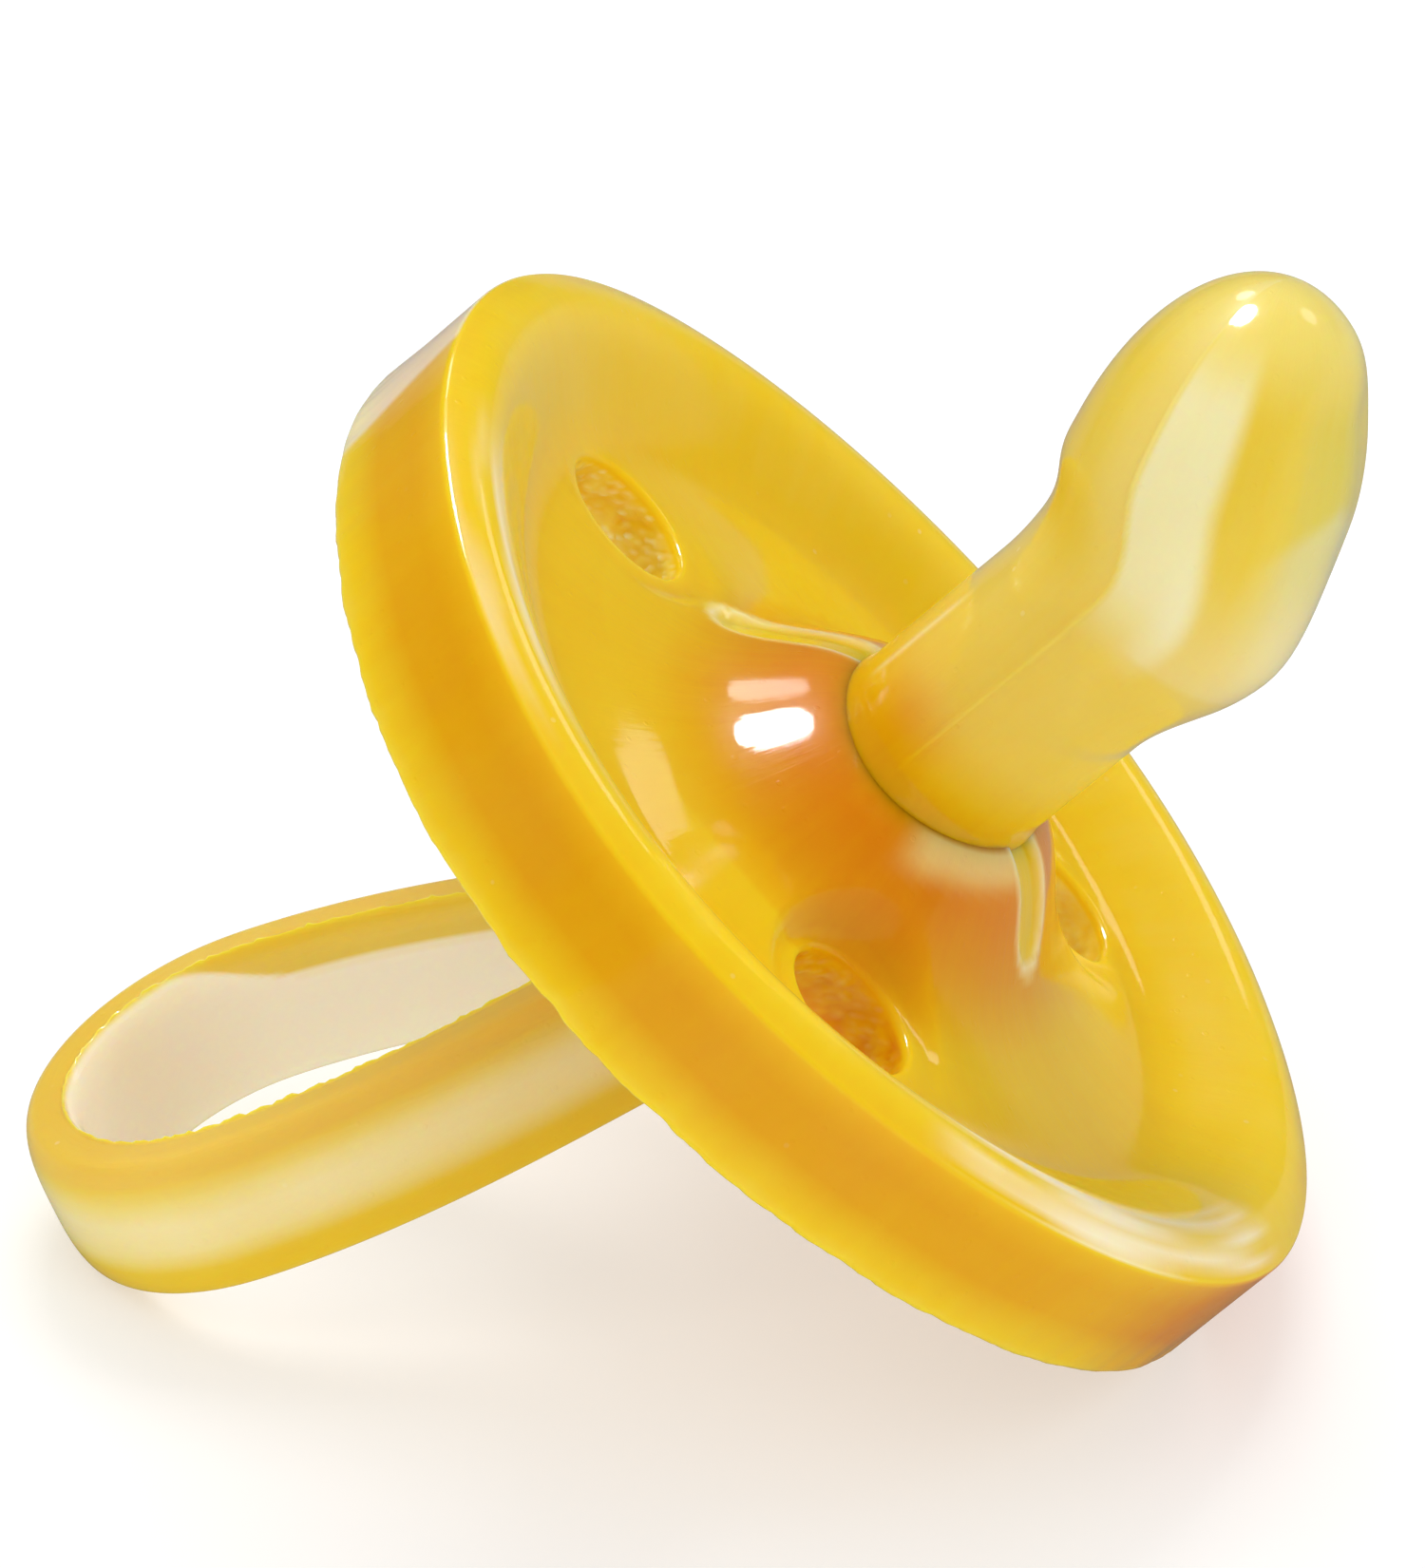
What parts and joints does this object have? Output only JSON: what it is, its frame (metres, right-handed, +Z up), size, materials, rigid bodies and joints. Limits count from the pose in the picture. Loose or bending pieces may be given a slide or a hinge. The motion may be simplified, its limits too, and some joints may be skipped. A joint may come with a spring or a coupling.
{
  "type": "pacifier",
  "caption": "Pacifier with a round dished shield, a hollow orthodontic teat, a swivel plug behind it and a teardrop loop handle that folds.",
  "frame": {"origin": "centre of the skirt's flat back edge, on the shield's axis", "axes": "+Z up with the pacifier lying on a table on its skirt and its handle; +X along the handle's fold pin; the teat leans up towards -Y, the handle points to +Y"},
  "size_m": [0.05, 0.0542, 0.0442],
  "materials": {
    "shield": "glossy translucent amber",
    "teat": "satin translucent, milky yellow",
    "plug": "satin translucent amber",
    "handle": "satin translucent yellow"
  },
  "bodies": {
    "guard": {"shield": "shield", "teat": "teat"},
    "swivel": {"plug": "plug"},
    "ring": {"handle": "handle"}
  },
  "joints": [
    {"name": "handle_swivel", "type": "hinge", "parent": "guard", "child": "swivel", "pos_m": [0, -0.00082, 0.00081], "axis": [0, -0.7117, 0.7025], "range_deg": [-71, 19]},
    {"name": "handle_fold", "type": "hinge", "parent": "swivel", "child": "ring", "pos_m": [0, 0.00487, -0.00481], "axis": [1, 0, 0], "range_deg": [-117, 73]}
  ]
}
